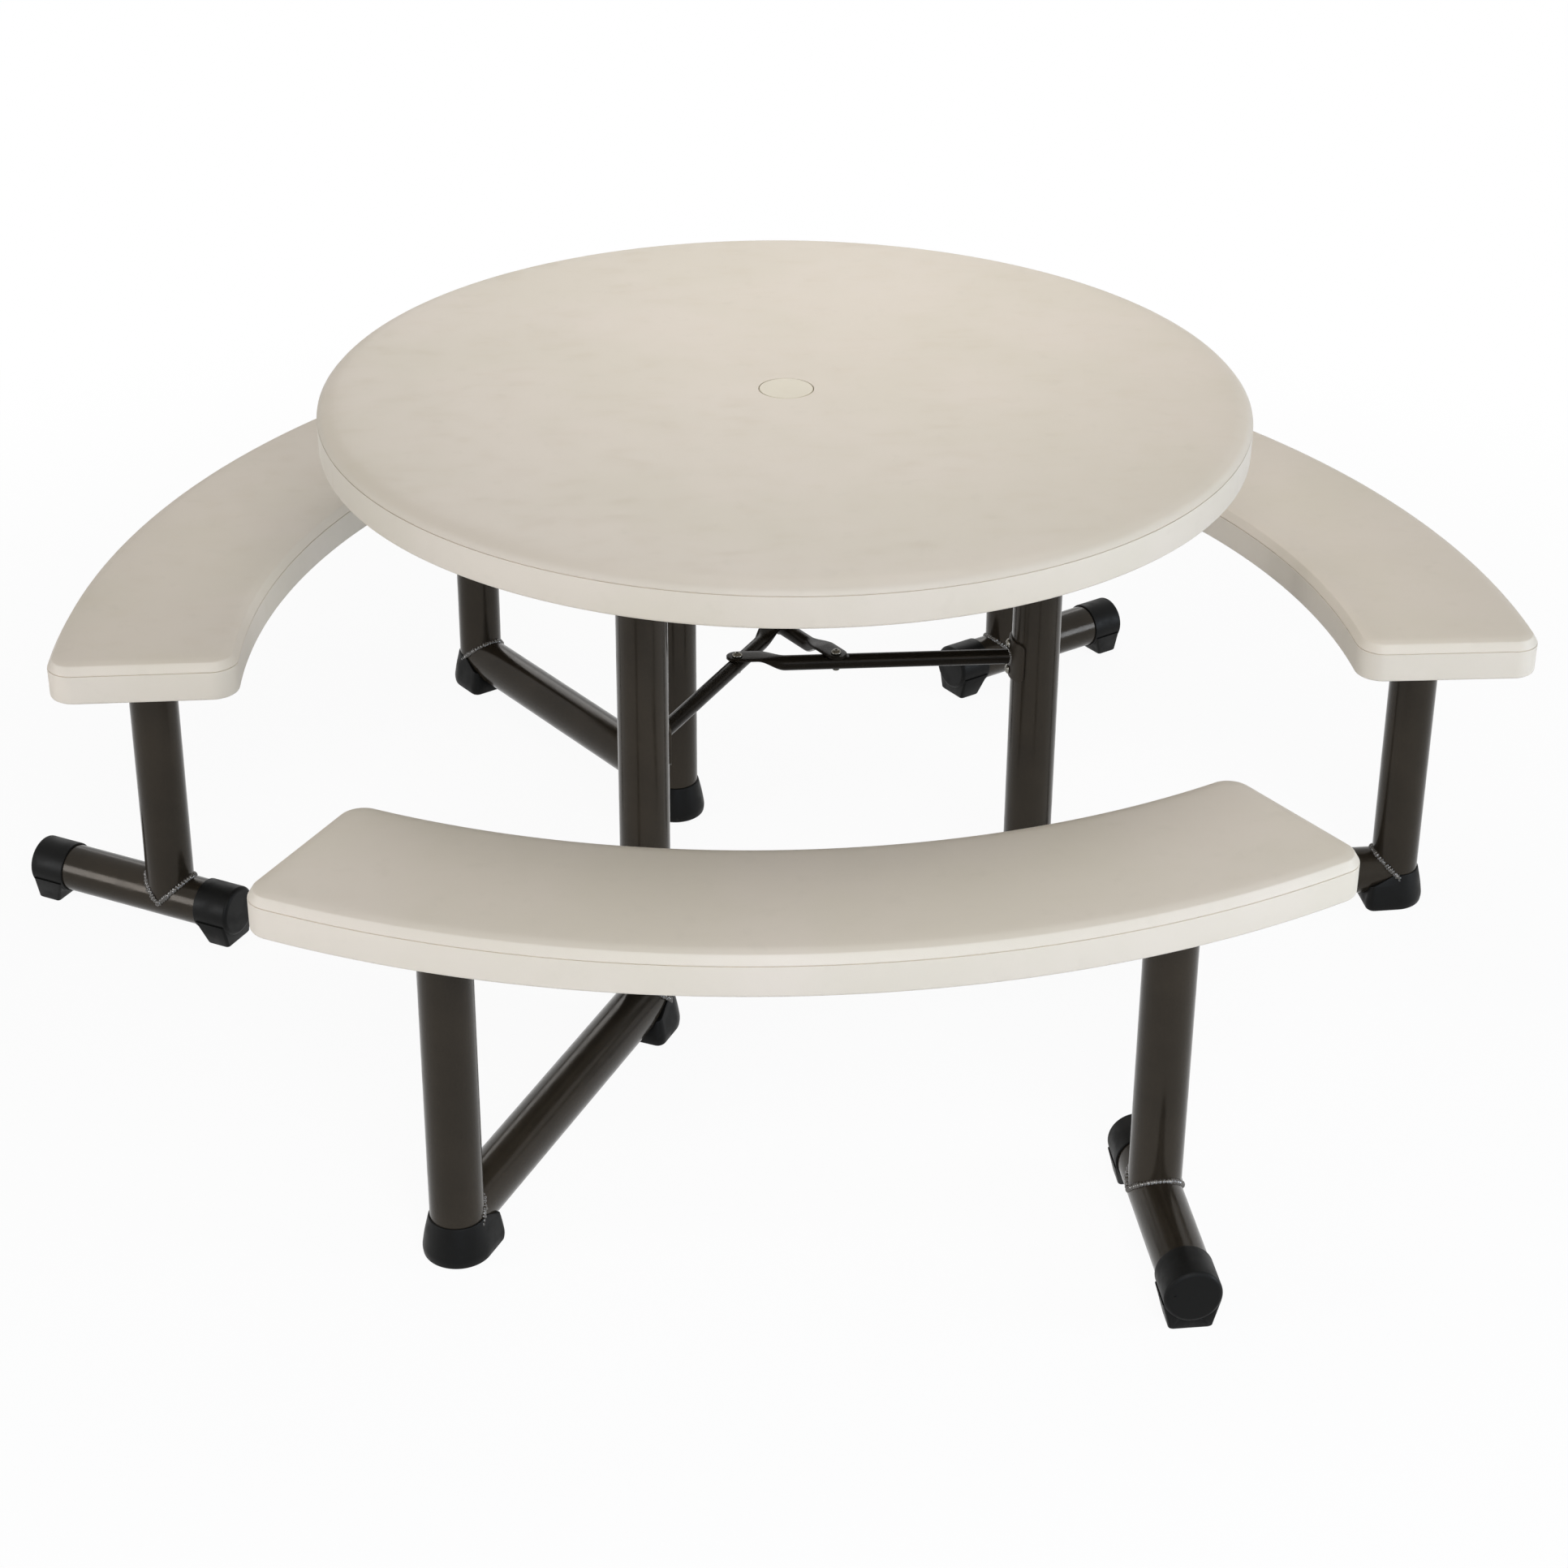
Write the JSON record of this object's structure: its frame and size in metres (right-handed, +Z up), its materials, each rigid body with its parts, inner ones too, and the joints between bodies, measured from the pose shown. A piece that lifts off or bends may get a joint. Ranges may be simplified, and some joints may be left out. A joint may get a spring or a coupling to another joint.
{
  "type": "round picnic table",
  "caption": "Round picnic table with curved benches joined to it by a tube frame, and a cap over its umbrella hole.",
  "frame": {"origin": "centre of the bounding box's bottom, on the floor", "axes": "+Z up; -Y towards the bench called front; the other benches lie a third of a turn to either side"},
  "size_m": [1.8842, 1.7686, 0.735],
  "materials": {
    "tabletop_plastic": "almond moulded plastic, fine matt grain",
    "cap_plastic": "almond moulded plastic, smooth",
    "bench_plastic": "almond moulded plastic, fine matt grain",
    "powder_coated_tube": "dark bronze powder coat, satin",
    "powder_coated_plate": "dark bronze powder coat, satin",
    "black_foot_plastic": "black moulded plastic, matt",
    "bolt_steel": "dark plated steel"
  },
  "bodies": {
    "table": {"tabletop": "tabletop_plastic", "bench_front": "bench_plastic", "bench_right": "bench_plastic", "bench_left": "bench_plastic", "table_leg_front": "powder_coated_tube", "table_leg_right": "powder_coated_tube", "table_leg_left": "powder_coated_tube", "ground_tube_front": "powder_coated_tube", "ground_tube_right": "powder_coated_tube", "ground_tube_left": "powder_coated_tube", "bench_leg_front": "powder_coated_tube", "bench_leg_right": "powder_coated_tube", "bench_leg_left": "powder_coated_tube", "t_post_front": "powder_coated_tube", "t_post_right": "powder_coated_tube", "t_post_left": "powder_coated_tube", "foot_tube_front": "powder_coated_tube", "foot_tube_right": "powder_coated_tube", "foot_tube_left": "powder_coated_tube", "table_leg_boot_front": "black_foot_plastic", "table_leg_boot_right": "black_foot_plastic", "table_leg_boot_left": "black_foot_plastic", "bench_leg_boot_front": "black_foot_plastic", "bench_leg_boot_right": "black_foot_plastic", "bench_leg_boot_left": "black_foot_plastic", "foot_cap_inner_front": "black_foot_plastic", "foot_cap_inner_right": "black_foot_plastic", "foot_cap_inner_left": "black_foot_plastic", "foot_cap_outer_front": "black_foot_plastic", "foot_cap_outer_right": "black_foot_plastic", "foot_cap_outer_left": "black_foot_plastic", "brace_front": "powder_coated_tube", "brace_right": "powder_coated_tube", "brace_left": "powder_coated_tube", "brace_saddle_front": "powder_coated_plate", "brace_saddle_right": "powder_coated_plate", "brace_saddle_left": "powder_coated_plate", "upper_saddle_bolt_front": "bolt_steel", "upper_saddle_bolt_right": "bolt_steel", "upper_saddle_bolt_left": "bolt_steel", "lower_saddle_bolt_front": "bolt_steel", "lower_saddle_bolt_right": "bolt_steel", "lower_saddle_bolt_left": "bolt_steel", "crossing_rivet_front": "bolt_steel", "crossing_rivet_right": "bolt_steel", "crossing_rivet_left": "bolt_steel", "table_leg_plate_front": "powder_coated_plate", "table_leg_plate_right": "powder_coated_plate", "table_leg_plate_left": "powder_coated_plate", "bench_leg_plate_front": "powder_coated_plate", "bench_leg_plate_right": "powder_coated_plate", "bench_leg_plate_left": "powder_coated_plate", "t_post_plate_front": "powder_coated_plate", "t_post_plate_right": "powder_coated_plate", "t_post_plate_left": "powder_coated_plate"},
    "umbrella_cap": {"umbrella_hole_cap": "cap_plastic"}
  },
  "joints": [
    {"name": "cap_lift", "type": "slide", "parent": "table", "child": "umbrella_cap", "axis": [0, 0, 1], "range_m": [0, 0.06]}
  ]
}
